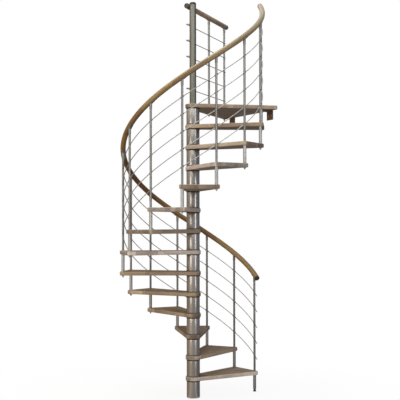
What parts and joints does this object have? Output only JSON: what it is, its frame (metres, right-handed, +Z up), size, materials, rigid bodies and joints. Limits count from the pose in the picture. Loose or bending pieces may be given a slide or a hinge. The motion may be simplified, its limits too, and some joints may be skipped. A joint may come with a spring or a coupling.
{
  "type": "spiral staircase",
  "caption": "Spiral staircase with wooden wedge treads round a steel pole, a wound wooden handrail on slim balusters with infill rods, and a landing platform with a guard.",
  "frame": {"origin": "on the axis of the pole, at the underside of its base plate, level with the floor", "axes": "+Z up along the pole, +X out over the landing edge of the platform, +Y to its left"},
  "size_m": [1.495, 1.3858, 3.8004],
  "materials": {
    "tread_wood": "oiled beech, satin",
    "rail_wood": "lacquered beech, satin",
    "baluster_steel": "satin grey steel",
    "rod_steel": "satin grey steel",
    "pole_steel": "brushed stainless",
    "post_steel": "grey powder coat",
    "nut_steel": "zinc plated",
    "bracket_steel": "dark brown paint",
    "black_plastic": "matt black"
  },
  "bodies": {
    "root": {"tread_01": "tread_wood", "tread_02": "tread_wood", "tread_03": "tread_wood", "tread_04": "tread_wood", "tread_05": "tread_wood", "tread_06": "tread_wood", "tread_07": "tread_wood", "tread_08": "tread_wood", "tread_09": "tread_wood", "tread_10": "tread_wood", "tread_11": "tread_wood", "tread_12": "tread_wood", "tread_13": "tread_wood", "platform": "tread_wood", "handrail": "rail_wood", "guard_handrail": "rail_wood", "baluster_01": "baluster_steel", "baluster_02": "baluster_steel", "baluster_03": "baluster_steel", "baluster_04": "baluster_steel", "baluster_05": "baluster_steel", "baluster_06": "baluster_steel", "baluster_07": "baluster_steel", "baluster_08": "baluster_steel", "baluster_09": "baluster_steel", "baluster_10": "baluster_steel", "baluster_11": "baluster_steel", "baluster_12": "baluster_steel", "baluster_13": "baluster_steel", "baluster_14": "baluster_steel", "baluster_sleeves": "baluster_steel", "guard_balusters": "baluster_steel", "rod_line_1": "rod_steel", "rod_line_2": "rod_steel", "rod_line_3": "rod_steel", "rod_line_4": "rod_steel", "rod_line_5": "rod_steel", "guard_rods": "rod_steel", "pole_tubes": "pole_steel", "tube_rings": "black_plastic", "centre_post": "post_steel", "guard_rod_eyes": "post_steel", "base_plate": "post_steel", "baluster_nuts": "nut_steel", "guard_nuts": "nut_steel", "platform_brackets": "bracket_steel", "leveling_foot": "black_plastic", "centre_post_cap": "black_plastic"}
  },
  "joints": []
}
